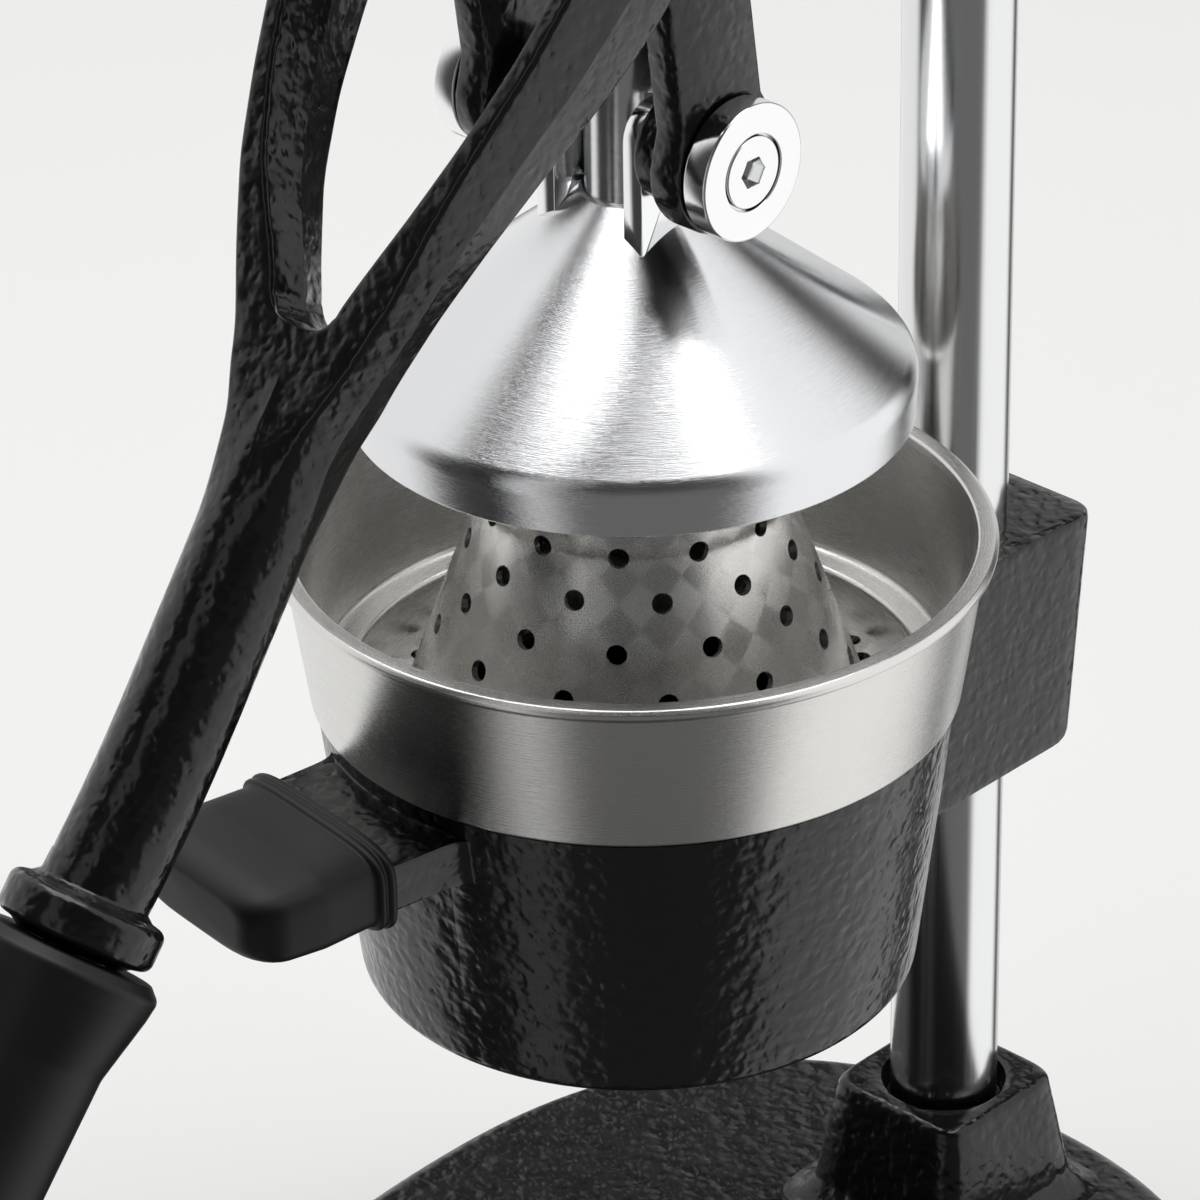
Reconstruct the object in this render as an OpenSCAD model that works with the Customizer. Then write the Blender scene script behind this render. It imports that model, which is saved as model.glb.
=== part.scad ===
// Hand-lever citrus press on a round column.
// Lengths are millimetres, +Z is up, the lever comes down towards -Y and the column stands at +Y.
// Heights are counted from the table. Plan places are counted from the press axis, and place()
// then moves everything so that the origin is at the bottom centre of the whole press.

/* [Base] */
// Half width of the base plate
base_half_w = 85; // [75:1:110]
// How far the base plate reaches in front of the press axis
base_front = 85; // [60:1:120]
// How far the base plate reaches behind the press axis
base_back = 122; // [112:1:150]
// Height of the base casting's edge
base_t = 16; // [12:0.5:24]
// Wall left around and above the hollow underneath
base_wall = 7; // [5:0.5:9]
// Height of the column socket above the plate
boss_h = 27; // [18:1:40]
// Half side of the socket's top
boss_top = 16; // [15:0.5:22]
// Half side of the socket's foot
boss_foot = 20; // [18:0.5:28]
// Height of the rubber feet
foot_h = 6; // [4:0.5:12]
// Radius of the rubber feet
foot_r = 11; // [8:0.5:14]

/* [Column] */
// Distance from the press axis to the column
pole_y = 87.7; // [84:0.1:100]
// Radius of the column
pole_r = 10.6; // [8:0.1:12]

/* [Cup and strainer] */
// Height of the strainer's rim above the table
rim_h = 208; // [190:1:260]
// Outer radius of the strainer's rim
rim_r = 65; // [60:0.5:72]
// How far the strainer's wall stands above the cup
strainer_wall_h = 30.7; // [24:0.1:40]
// Outer radius at the foot of that wall
strainer_foot_r = 58.8; // [57:0.1:60]
// Width of the strainer's flat lip
lip_w = 4; // [2:0.5:6]
// Thickness of the strainer's sheet
sheet_t = 1.4; // [1:0.1:2]
// How deep the strainer's spigot sits in the cup
spigot_h = 10; // [6:0.5:14]
// Outer radius of the cup's top
cup_top_r = 58; // [57:0.1:62]
// Outer radius of the cup's foot
cup_foot_r = 51; // [44:0.5:54]
// Height of the cup
cup_h = 56; // [48:1:80]
// Wall of the cup
cup_wall = 4.4; // [3.5:0.1:6]
// Radius of the juice outlet
outlet_r = 11; // [6:0.5:16]
// Half width of the bracket that clamps the column
bracket_half_w = 17.5; // [15:0.5:22]
// Height of that bracket
bracket_h = 48; // [30:1:52]
// Turn of the thumb handle about the vertical
thumb_turn = 8; // [0:1:15]
// How far the thumb handle's collar is from the press axis
thumb_collar = 70; // [66:0.5:80]
// Length of the thumb handle's sleeve
thumb_len = 28.5; // [24:0.5:60]

/* [Reamer] */
// Radius of the reamer's foot
reamer_r = 44; // [38:0.5:46]
// Height of the reamer above the strainer's rim
reamer_top = 33; // [20:1:36]
// Radius of the juice holes
drain_r = 1.9; // [1:0.1:2.5]

/* [Press cap] */
// Radius of the cap's edge
cap_r = 50.4; // [46:0.2:53]
// Height of the cap's edge above the strainer's rim
cap_gap = 25.8; // [24:0.1:40]
// Height of the upright band at the edge
cap_band_h = 6.4; // [4:0.1:12]
// Height of the cap's top above its edge
cap_h = 42.2; // [34:0.1:60]
// Wall of the cap
cap_wall = 3; // [2:0.1:4]
// Radius of the plunger rod
rod_r = 8; // [6:0.1:9]
// Height of the cross pins above the cap's edge
pin_rise = 55.9; // [50:0.1:75]
// How far the cross pins stand in front of the press axis
pin_front = 3.5; // [0:0.5:4]

/* [Toggle] */
// Length of the lever's crank, which is also the links' length
crank = 52.7; // [50:0.1:70]
// Lean of the crank from the vertical when the lever is down
crank_lean = 8; // [6:1:15]
// Radius of the cross pins
pin_r = 5; // [4:0.1:6]
// Half width of a link
link_half_w = 9.8; // [8:0.1:12]
// Thickness of a link
link_t = 7; // [5:0.5:8]
// Radius of a link's eyes
eye_r = 12.8; // [12:0.1:14]
// Radius of the thick washers
washer_r = 12.35; // [11:0.1:13]
// Thickness of the thick washers
washer_t = 5; // [4:0.1:6]

/* [Lever] */
// Thickness of a fork arm across the press
arm_t = 6.8; // [5:0.1:9]
// Depth of a fork arm
arm_depth = 20; // [14:0.5:24]
// Radius of the lever's shaft
shaft_r = 9.75; // [8:0.25:12]
// Radius of the cast ring above the grip
ring_r = 14.1; // [12:0.1:16]
// Radius of the rubber grip
grip_r = 14.4; // [12:0.1:17]
// Radius of the grip's collar
grip_collar_r = 17.5; // [15:0.5:20]
// Length of the grip
grip_len = 116; // [90:1:150]

/* [Head] */
// Radius of the head's hub on the column
hub_r = 19; // [17:0.5:24]
// Radius of the head's guide for the rod
guide_r = 14.5; // [13.5:0.1:15]
// Height of the guide above the lever's pivot
guide_up = 22; // [18:1:30]
// Depth of the guide below the lever's pivot
guide_down = 16; // [14:1:18]

/* [Fits] */
// Radial clearance of a turning or sliding fit
run_gap = 0.05; // [0.02:0.01:0.1]
// Radial clearance of a piece that is only put in
seat_gap = 0.15; // [0.1:0.05:0.3]
// Gap between faces that move past each other
side_gap = 0.5; // [0.3:0.1:1]

/* [Hidden] */
$fn = 96;

plate_top = foot_h + base_t;
cup_top = rim_h - strainer_wall_h - 0.3;
cup_foot = cup_top - cup_h;
seat_z = rim_h - strainer_wall_h;
cap_edge = rim_h + cap_gap;
cap_top = cap_edge + cap_h;
pin_z = cap_edge + pin_rise;
pin_y = -pin_front;
pivot_z = pin_z + 2 * crank * cos(crank_lean);
joint_y = pin_y - crank * sin(crank_lean);
joint_z = pivot_z - crank * cos(crank_lean);

// Across the press: the cap's lugs, the links, the washers and the lever's arms
lug_in = rod_r - 1.2;
lug_out = rod_r + 4.5;
link_in = 19.5;
link_out = link_in + link_t;
arm_in = link_out + side_gap;
lever_hub_t = 12;
arm_out = arm_in + lever_hub_t;
arm_mid = arm_in + 5;
ear_out = arm_in + 6;
thread_r = 4;
csk_r = 6.6;
csk_h = 3;
hex_af = 5;
clip_t = 1;

// The lever's centre line from its pivot to the cast ring, as [y, height above the rim]
ring_y = -135.3;
ring_z = -19;
line = [
    [pin_y, pivot_z - rim_h], [-20.5, 150], [-45.5, 111], [-67.5, 84], [-78, 62], [-87.5, 43],
    [-99.5, 26.5], [-115, 6]
];
shaft_end = line[len(line) - 1];
shaft_slope = atan2(ring_z - shaft_end[1], ring_y - shaft_end[0]);
grip_end_y = ring_y + (grip_len - grip_r) * cos(shaft_slope);
grip_end_z = rim_h + ring_z + (grip_len - grip_r) * sin(shaft_slope);

// Middle of the press from front to back
front_y = grip_end_y - grip_r;
press_y = -(front_y + base_back) / 2;

module place() translate([0, press_y, 0]) children();
module both_sides() for (s = [-1, 1]) scale([s, 1, 1]) children();
// A cylinder along X from x0 to x1 about the point y, z
module rod_x(r, x0, x1, y, z) translate([x0, y, z]) rotate([0, 90, 0]) cylinder(r = r, h = x1 - x0);
module rod_y(r, y0, y1, x, z) translate([x, y1, z]) rotate([90, 0, 0]) cylinder(r = r, h = y1 - y0);
module ring_x(r, r_in, x0, x1, y, z) difference() {
    rod_x(r, x0, x1, y, z);
    rod_x(r_in, x0 - 1, x1 + 1, y, z);
}

// Points of an arc about c from angle a to angle b
function arc(c, r, a, b, n = 10) = [
    for (i = [0:n]) let (turn = a + (b - a) * i / n) c + r * [cos(turn), sin(turn)]
];

// ---- Base ----------------------------------------------------------------

base_mid = 30;
// Oval outline: a blunt ellipse behind base_mid and another in front of it
function oval(half_w, front, back, blunt = 2.3, n = 72) = [
    for (i = [0:n - 1])
        let (a = 360 * i / n, c = cos(a), s = sin(a), reach = s > 0 ? back - base_mid : front + base_mid)
        [half_w * sign(c) * pow(abs(c), 2 / blunt), base_mid + reach * sign(s) * pow(abs(s), 2 / blunt)]
];
foot_places = [[-58, -45], [58, -45], [-58, 82], [58, 82]];
foot_pad_r = foot_r + 1;
base_bolt_r = 5;

module base_plan(inset) polygon(oval(base_half_w - inset, base_front - inset, base_back - inset));

module base() color("#18181a") difference() {
    union() {
        difference() {
            translate([0, 0, foot_h]) linear_extrude(base_t) base_plan(0);
            translate([0, 0, foot_h - 1]) linear_extrude(base_t - base_wall + 1) difference() {
                base_plan(base_wall);
                for (p = foot_places) translate(p) circle(r = foot_pad_r);
                translate([0, pole_y]) circle(r = hub_r);
            }
        }
        hull() {
            translate([0, pole_y, plate_top + boss_h - 0.5])
                cube([2 * boss_top, 2 * boss_top, 1], center = true);
            translate([0, pole_y, plate_top - 0.5])
                cube([2 * boss_foot, 2 * boss_foot, 1], center = true);
        }
    }
    // The column's socket, with the wider mouth
    translate([0, pole_y, plate_top]) cylinder(r = pole_r + seat_gap, h = boss_h + 1);
    translate([0, pole_y, plate_top + boss_h - 6]) cylinder(r = pole_r + 1.6, h = 7);
    translate([0, pole_y, 0]) cylinder(r = base_bolt_r + seat_gap, h = plate_top + 1);
    translate([0, pole_y, foot_h - 1]) cylinder(r = foot_pad_r + seat_gap, h = base_t - base_wall + 1);
    for (p = foot_places) translate([p[0], p[1], 0]) cylinder(r = 2 + seat_gap, h = foot_h + 9);
    rod_y(3 + seat_gap, pole_y, pole_y + boss_foot + 1, 0, plate_top + boss_h / 2);
}

module feet() color("#101010") for (p = foot_places) translate([p[0], p[1], 0]) difference() {
    union() {
        cylinder(r1 = foot_r - 1.5, r2 = foot_r, h = 1.5);
        translate([0, 0, 1.5]) cylinder(r = foot_r, h = foot_h - 1.5);
    }
    translate([0, 0, -1]) cylinder(r = 4.6, h = 3.5);
    cylinder(r = 2 + seat_gap, h = foot_h + 1);
}

module feet_screws() color("silver") for (p = foot_places) translate([p[0], p[1], 0]) difference() {
    union() {
        translate([0, 0, 2.5]) cylinder(r = 2, h = 11);
        translate([0, 0, 0.8]) cylinder(r = 4.2, h = 1.7);
    }
    translate([0, 0, 0.7]) cylinder(r = 1.3, h = 1, $fn = 6);
}

// ---- Column --------------------------------------------------------------

column_top = pivot_z + guide_up - 4;
module column() color("#d8dade") translate([0, pole_y, 0]) difference() {
    translate([0, 0, plate_top + 0.1]) cylinder(r = pole_r, h = column_top - plate_top - 0.1);
    cylinder(r = base_bolt_r + run_gap, h = plate_top + 30);
}

washer_z = plate_top - base_wall;
module column_bolt() color("silver") translate([0, pole_y, 0]) {
    translate([0, 0, washer_z - 2]) cylinder(r = base_bolt_r, h = 2 + base_wall + 26);
    translate([0, 0, washer_z - 7]) cylinder(r = 8.4, h = 5, $fn = 6);
}
module column_washer() color("silver") translate([0, pole_y, washer_z - 2]) difference() {
    cylinder(r = 11, h = 2);
    translate([0, 0, -1]) cylinder(r = base_bolt_r + seat_gap, h = 4);
}

// A headless screw along Y from its tip at y0 to its socket at y1
module grub_y(r, y0, y1, x, z) difference() {
    rod_y(r, y0, y1, x, z);
    translate([x, y1 + 1, z]) rotate([90, 0, 0]) cylinder(r = 0.55 * r, h = 3.5, $fn = 6);
}
module socket_screw() color("silver")
    grub_y(3, pole_y + pole_r, pole_y + boss_top - 0.5, 0, plate_top + boss_h / 2);

module column_cap() color("#18181a") translate([0, pole_y, 0]) difference() {
    union() {
        translate([0, 0, pivot_z + guide_up]) cylinder(r1 = pole_r + 3.4, r2 = pole_r + 2, h = 3);
        translate([0, 0, column_top + 0.2]) cylinder(r = pole_r, h = 4);
    }
    translate([0, 0, column_top - 1]) cylinder(r = pole_r - 3, h = 4);
}

// ---- Cup -----------------------------------------------------------------

bracket_back = pole_y + pole_r + 12.7;
bracket_top = cup_top - 2.5;
bracket_bot = bracket_top - bracket_h;
bracket_round = 6;
bracket_draft = 5;
function bracket_back_at(share) = bracket_back - bracket_draft * (1 - share);
thumb_t = 9;
thumb_arm_half_w = 18.6;
thumb_half_w = 19.8;
thumb_collar_half_w = 21;
thumb_collar_t = 3.4;
thumb_core_inset = 4;
thumb_top = cup_top - 3.7;
screw_rise = [0.27, 0.73];

module thumb_plan(half_w, from, to, r) hull() for (s = [-1, 1]) {
    translate([s * (half_w - r), -to + r]) circle(r = r, $fn = 32);
    translate([s * half_w - (s > 0 ? 0.1 : 0), -from - 0.1]) square(0.1);
}

// Slice of the bracket at a height share, from inside the cup to its back
module bracket_slice(share) translate([0, 0, bracket_bot + share * (bracket_h - 0.1)]) linear_extrude(0.1) {
    translate([-bracket_half_w, cup_foot_r - 20]) square([2 * bracket_half_w, 1]);
    both_sides() translate([bracket_half_w - bracket_round, bracket_back_at(share) - bracket_round])
        circle(r = bracket_round, $fn = 24);
}

module cup() color("#1a1a1c") difference() {
    union() {
        rotate_extrude() polygon(concat(
            [[0, cup_foot], [cup_foot_r - 5, cup_foot]],
            arc([cup_foot_r - 5, cup_foot + 5], 5, -90, -5, 6),
            [[cup_top_r, cup_top - 1], [cup_top_r - 1, cup_top], [0, cup_top]]));
        // Bracket back to the column, drafted towards its foot
        hull() for (share = [0, 1]) bracket_slice(share);
        // Thumb handle
        translate([0, 0, thumb_top - thumb_t]) linear_extrude(thumb_t) difference() {
            union() {
                rotate(-thumb_turn) translate([-thumb_arm_half_w, -thumb_collar])
                    square([2 * thumb_arm_half_w, thumb_collar]);
                rotate(-thumb_turn) thumb_plan(
                    thumb_half_w - thumb_core_inset, thumb_collar - 4, thumb_collar + thumb_len - 5, 5);
            }
            circle(r = cup_foot_r);
        }
    }
    // Inside: the seat for the strainer, the bowl and the outlet
    rotate_extrude() polygon([
        [0, cup_foot - 1], [outlet_r, cup_foot - 1], [outlet_r, cup_foot + 6],
        [cup_foot_r - cup_wall - 4, cup_foot + 14], [cup_foot_r - cup_wall, cup_foot + 19],
        [cup_top_r - cup_wall, cup_top - spigot_h - 4], [cup_top_r - cup_wall, cup_top + 1],
        [0, cup_top + 1]
    ]);
    translate([0, pole_y, bracket_bot - 1]) cylinder(r = pole_r + seat_gap, h = bracket_h + 2);
    for (share = screw_rise)
        rod_y(4 + seat_gap, pole_y, bracket_back + 1, 0, bracket_bot + share * bracket_h);
}
module cup_screws() color("#3a3a3c") for (share = screw_rise)
    grub_y(4, pole_y + pole_r, bracket_back_at(share) - 1, 0, bracket_bot + share * bracket_h);

sleeve_t = 15.6;
collar_t = 17.2;
thumb_mid_z = thumb_top - thumb_t / 2;
module thumb_grip() color("#141414") difference() {
    rotate(-thumb_turn) {
        translate([0, 0, thumb_mid_z - sleeve_t / 2]) linear_extrude(sleeve_t)
            thumb_plan(thumb_half_w, thumb_collar + 2, thumb_collar + thumb_len, 7);
        translate([-thumb_collar_half_w, -thumb_collar - thumb_collar_t, thumb_mid_z - collar_t / 2])
            cube([2 * thumb_collar_half_w, thumb_collar_t, collar_t]);
    }
    translate([0, 0, thumb_top - thumb_t - seat_gap]) linear_extrude(thumb_t + 2 * seat_gap) union() {
        rotate(-thumb_turn) translate([-thumb_arm_half_w - seat_gap, -thumb_collar - seat_gap])
            square([2 * (thumb_arm_half_w + seat_gap), thumb_collar]);
        rotate(-thumb_turn) thumb_plan(thumb_half_w - thumb_core_inset + seat_gap, thumb_collar - 5,
            thumb_collar + thumb_len - 5 + seat_gap, 5);
    }
}

// ---- Strainer and reamer -------------------------------------------------

spigot_r = cup_top_r - cup_wall - 0.6;
floor_z = seat_z - spigot_h;
module strainer() color("#c9c9c6") difference() {
    rotate_extrude() polygon([
        [0, floor_z], [spigot_r, floor_z], [spigot_r, seat_z], [strainer_foot_r, seat_z],
        [rim_r - 2.2, rim_h - 3], [rim_r, rim_h - 1.6], [rim_r, rim_h - 0.4], [rim_r - 0.4, rim_h],
        [rim_r - lip_w, rim_h], [strainer_foot_r - sheet_t - 0.4, seat_z + sheet_t],
        [spigot_r - sheet_t, seat_z + sheet_t], [spigot_r - sheet_t, floor_z + sheet_t],
        [0, floor_z + sheet_t]
    ]);
    // The middle is open under the reamer, and two rings of holes drain the floor
    translate([0, 0, floor_z - 1]) cylinder(r = reamer_r - 6, h = sheet_t + 2);
    for (i = [0:47]) rotate(i * 7.5)
        translate([(reamer_r + spigot_r - sheet_t) / 2 + (i % 2 == 0 ? -1 : 1), 0, floor_z - 1])
            cylinder(r = drain_r, h = sheet_t + 2, $fn = 24);
}

reamer_foot = floor_z + sheet_t;
reamer_h = rim_h + reamer_top - reamer_foot;
reamer_flank = 0.66;
// Outer radius of the reamer at height share u: a straight flank that turns into a dome
function dome_r(u) = u < reamer_flank
    ? reamer_r - (reamer_r * 0.375) * u / reamer_flank
    : reamer_r * 0.625 * sqrt(max(0, 1 - pow((u - reamer_flank) / (1 - reamer_flank), 2)));
module dome_solid(inset) rotate_extrude() polygon(concat([[0, reamer_foot]], [
    for (i = [0:20]) let (u = 1 - pow(1 - i / 20, 1.6))
        [max(0, dome_r(u) - inset), reamer_foot + u * (reamer_h - inset)]]));
module reamer() color("#cfcfcc") difference() {
    dome_solid(0);
    translate([0, 0, -0.01]) dome_solid(sheet_t);
    for (row = [0:2]) for (i = [0:11]) rotate(i * 30 + row * 10)
        translate([0, 0, reamer_foot + 8 + row * 13]) rotate([0, 90, 0])
            translate([0, 0, 20]) cylinder(r = drain_r, h = reamer_r, $fn = 24);
}

// ---- Press cap, rod and cross pins -----------------------------------------

shoulder_r = 5;
cap_slope = atan2(cap_h - cap_band_h, cap_r - rod_r - 1);
neck_r = rod_r + 1;
lug_r = 7;
boss_in_r = rod_r + 6;
rod_foot = cap_top - 14;
inner_drop = cap_wall / cos(cap_slope);
// Where the straight flank leaves the rounded shoulder
shoulder_c = [cap_r - shoulder_r, cap_edge + cap_band_h];

module cap_outer() rotate_extrude() polygon(concat(
    [[0, cap_edge], [cap_r - 0.6, cap_edge], [cap_r, cap_edge + 0.6]],
    arc(shoulder_c, shoulder_r, 0, 90 - cap_slope, 8),
    [[neck_r, cap_top - 0.5], [neck_r - 0.5, cap_top], [0, cap_top]]));
module cap_inner() rotate_extrude() polygon([
    [0, cap_edge - 1], [cap_r - cap_wall, cap_edge - 1], [cap_r - cap_wall, cap_edge + cap_band_h - 1],
    [neck_r, cap_top - inner_drop - 1.5], [0, cap_top - inner_drop - 1.5]]);

module press_cap() color("#c4c5c8") difference() {
    union() {
        difference() {
            union() {
                cap_outer();
                both_sides() {
                    rod_x(lug_r, lug_in, lug_out, pin_y, pin_z);
                    translate([lug_in, pin_y - lug_r, cap_edge + cap_band_h + 8])
                        cube([lug_out - lug_in, 2 * lug_r, pin_rise - cap_band_h - 8]);
                }
            }
            cap_inner();
        }
        translate([0, 0, rod_foot - 3]) cylinder(r = boss_in_r, h = cap_top - rod_foot + 0.5);
    }
    translate([0, 0, rod_foot]) cylinder(r = rod_r + run_gap, h = 40);
    both_sides() rod_x(thread_r + run_gap, lug_in - 1, lug_out + 1, pin_y, pin_z);
}

rod_top = pivot_z + guide_up + 14;
module plunger_rod() color("#cfd1d4") {
    translate([0, 0, rod_foot]) cylinder(r = rod_r, h = rod_top - 1 - rod_foot);
    translate([0, 0, rod_top - 1]) cylinder(r1 = rod_r, r2 = rod_r - 1, h = 1);
}
collar_z = pivot_z + guide_up + 0.4;
module rod_collar() color("#c4c5c8") translate([0, 0, collar_z]) difference() {
    cylinder(r = rod_r + 5.5, h = 9);
    translate([0, 0, -1]) cylinder(r = rod_r + run_gap, h = 11);
    translate([0, 0, -collar_z]) rod_y(2.5 + seat_gap, -rod_r - 8, 0, 0, collar_z + 4.5);
}
module collar_screw() color("#3a3a3c") rotate(180)
    grub_y(2.5, rod_r, rod_r + 5, 0, collar_z + 4.5);

// Countersunk screw along +X: thread to x0, plain pin from x0 to x1, head flush at x2
module csk_screw(x_tip, x0, x1, x2, y, z) difference() {
    union() {
        rod_x(thread_r, x_tip, x0, y, z);
        rod_x(pin_r, x0, x1, y, z);
        rod_x(thread_r, x1, x2 - csk_h, y, z);
        translate([x2 - csk_h, y, z]) rotate([0, 90, 0])
            cylinder(r1 = thread_r, r2 = csk_r, h = csk_h - 0.6);
        rod_x(csk_r, x2 - 0.6, x2, y, z);
    }
    translate([x2 - 3, y, z]) rotate([0, 90, 0]) cylinder(r = hex_af / sqrt(3), h = 4, $fn = 6);
}
module csk_washer(x0, y, z) difference() {
    union() {
        rod_x(washer_r, x0 + 0.5, x0 + washer_t - 0.6, y, z);
        translate([x0, y, z]) rotate([0, 90, 0]) cylinder(r1 = washer_r - 0.5, r2 = washer_r, h = 0.5);
        translate([x0 + washer_t - 0.6, y, z]) rotate([0, 90, 0])
            cylinder(r1 = washer_r, r2 = washer_r - 0.6, h = 0.6);
    }
    rod_x(thread_r + seat_gap, x0 - 1, x0 + washer_t + 1, y, z);
    translate([x0 + washer_t - csk_h - 0.2, y, z]) rotate([0, 90, 0])
        cylinder(r1 = thread_r, r2 = csk_r + seat_gap, h = csk_h - 0.4);
    rod_x(csk_r + seat_gap, x0 + washer_t - 0.7, x0 + washer_t + 1, y, z);
}

cap_washer_x = link_out + side_gap;
module cap_screws() color("#b9bbbe") both_sides()
    csk_screw(rod_r + 0.4, lug_out + 0.05, cap_washer_x - 0.05, cap_washer_x + washer_t, pin_y, pin_z);
module cap_washers() color("#d6d7d9") both_sides() csk_washer(cap_washer_x, pin_y, pin_z);

// ---- Links ---------------------------------------------------------------

bush_wall = 1.5;
// The lower eye reaches inwards to the cap's lug with a boss
inner_boss_r = 10;
inner_boss_x = lug_out + side_gap;
module link(s) color("#161618") scale([s, 1, 1]) translate([link_in, pin_y, pin_z])
    rotate([crank_lean, 0, 0]) difference() {
        union() {
            rod_x(eye_r, 0, link_t, 0, 0);
            rod_x(inner_boss_r, inner_boss_x - link_in, 1, 0, 0);
            rod_x(eye_r, 0, link_t, 0, crank);
            translate([0, -link_half_w, 0]) cube([link_t, 2 * link_half_w, crank]);
        }
        for (z = [0, crank]) rod_x(pin_r + bush_wall + run_gap, -inner_boss_r, link_t + 1, 0, z);
    }
module link_left() link(-1);
module link_right() link(1);
module eye_bushes() color("#a8823c") both_sides() {
    ring_x(pin_r + bush_wall, pin_r + run_gap, inner_boss_x, link_out, pin_y, pin_z);
    ring_x(pin_r + bush_wall, pin_r + run_gap, link_in, link_out, joint_y, joint_z);
}

// ---- Lever ---------------------------------------------------------------

lever_hub_r = 16;
ear_r = 10;
pin_head_r = pin_r + 3.5;
pivot_pin_r = 6;
hub_bush_r = 8;
arm_half = arm_depth / 2;
function normal(i) =
    let (a = line[max(0, i - 1)], b = line[min(len(line) - 1, i + 1)], d = b - a)
    [-d[1], d[0]] / norm(d);
// The fork's root ends inside the shaft
core_r = shaft_r - 0.7;
// Half depth at each point of the line: deepest at the pivot, slimmest at the crotch
depth_share = [1.3, 1.25, 1.08, 0.82, 0.72];
function half_depth(i) = i < len(depth_share) ? arm_half * depth_share[i] : core_r;
side_line = concat(
    [for (i = [0:len(line) - 1]) line[i] + normal(i) * half_depth(i)],
    [for (i = [len(line) - 1:-1:0]) line[i] - normal(i) * half_depth(i)]);
// Half of the fork's outline from the front, as [x, height above the rim]
crotch_z = 67.5;
outer_edge = [
    [core_r, -12], [core_r, 46], [10.6, 52], [15.2, 64], [20.2, 76], [24, 88], [27.8, 100],
    [31.6, 112], [34.3, 124], [arm_mid + arm_t / 2, 136]
];
inner_edge = [
    [0, crotch_z], [4.4, 69], [6, 72.5], [7.8, 76], [15, 88], [20.5, 100], [24.5, 112],
    [27.2, 124], [arm_mid - arm_t / 2, 136]
];
fork_top = pivot_z - rim_h + 20;

module lever_fork() intersection() {
    translate([-60, 0, rim_h]) rotate([90, 0, 90]) linear_extrude(120) polygon(side_line);
    translate([0, 200, rim_h]) rotate([90, 0, 0]) linear_extrude(400) difference() {
        both_sides() polygon(concat([[-0.1, -12]], outer_edge,
            [[arm_mid + arm_t / 2, fork_top], [-0.1, fork_top]]));
        both_sides() polygon(concat([[-0.1, crotch_z]], inner_edge,
            [[arm_mid - arm_t / 2, fork_top + 1], [-0.1, fork_top + 1]]));
    }
}
// Anything drawn along +Z with its foot at the cast ring is carried to the lever's lower end
module at_ring() translate([0, ring_y, rim_h + ring_z]) rotate([shaft_slope - 90, 0, 0]) children();

shaft_len = norm([ring_y, ring_z] - shaft_end);
module lever() color("#161618") difference() {
    union() {
        lever_fork();
        // Shaft, cast ring and the core inside the grip
        at_ring() rotate_extrude() polygon(concat(
            [[0, -shaft_len - 28], [shaft_r, -shaft_len - 28], [shaft_r, -7]],
            arc([ring_r - 4, 0], 4, -80, 80, 8),
            [[shaft_r, 5], [shaft_r - 2, 5], [shaft_r - 2, grip_len - 26], [0, grip_len - 26]]));
        both_sides() {
            rod_x(lever_hub_r, arm_in, arm_out, pin_y, pivot_z);
            // Crank ear from the hub down to the link
            rod_x(ear_r, arm_in, ear_out, joint_y, joint_z);
            translate([arm_in, pin_y, pivot_z]) rotate([-crank_lean, 0, 0])
                translate([0, 0.8 - ear_r, -crank]) cube([ear_out - arm_in, 2 * (ear_r - 0.8), crank]);
        }
    }
    both_sides() {
        rod_x(hub_bush_r + run_gap, arm_in - 1, arm_out + 1, pin_y, pivot_z);
        rod_x(pin_r + run_gap, arm_in - 1, ear_out + 1, joint_y, joint_z);
        // Spot face for the cross pin's head where the arm stands proud of the ear
        rod_x(pin_head_r + side_gap, ear_out, arm_out + 1, joint_y, joint_z);
    }
}
module lever_grip() color("#121212") at_ring() difference() {
    rotate_extrude() polygon(concat(
        [[0, 5.2], [grip_collar_r - 3, 5.2], [grip_collar_r, 7.5], [grip_collar_r - 0.5, 11], [grip_r, 23],
         [grip_r - 0.6, 60], [grip_r, grip_len - grip_r]],
        arc([0, grip_len - grip_r], grip_r, 0, 90, 10)));
    translate([0, 0, 4]) cylinder(r = shaft_r - 2 + seat_gap, h = grip_len - 30 + seat_gap);
}
module hub_bushes() color("#a8823c") both_sides()
    ring_x(hub_bush_r, pivot_pin_r + run_gap, arm_in, arm_out, pin_y, pivot_z);
pin_tip = link_in - side_gap - clip_t - 1.5;
module link_pins() color("#b9bbbe") both_sides() difference() {
    union() {
        rod_x(pin_r, pin_tip, ear_out, joint_y, joint_z);
        rod_x(pin_head_r, ear_out, ear_out + 3, joint_y, joint_z);
    }
    ring_x(pin_r + 1, pin_r - 0.8, link_in - side_gap - clip_t, link_in - side_gap, joint_y, joint_z);
}
module pin_clips() color("#3a3a3c") both_sides() ring_x(pin_r + 2.4, pin_r - 0.75,
    link_in - side_gap - clip_t + 0.05, link_in - side_gap - 0.05, joint_y, joint_z);

// ---- Head ----------------------------------------------------------------

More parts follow.
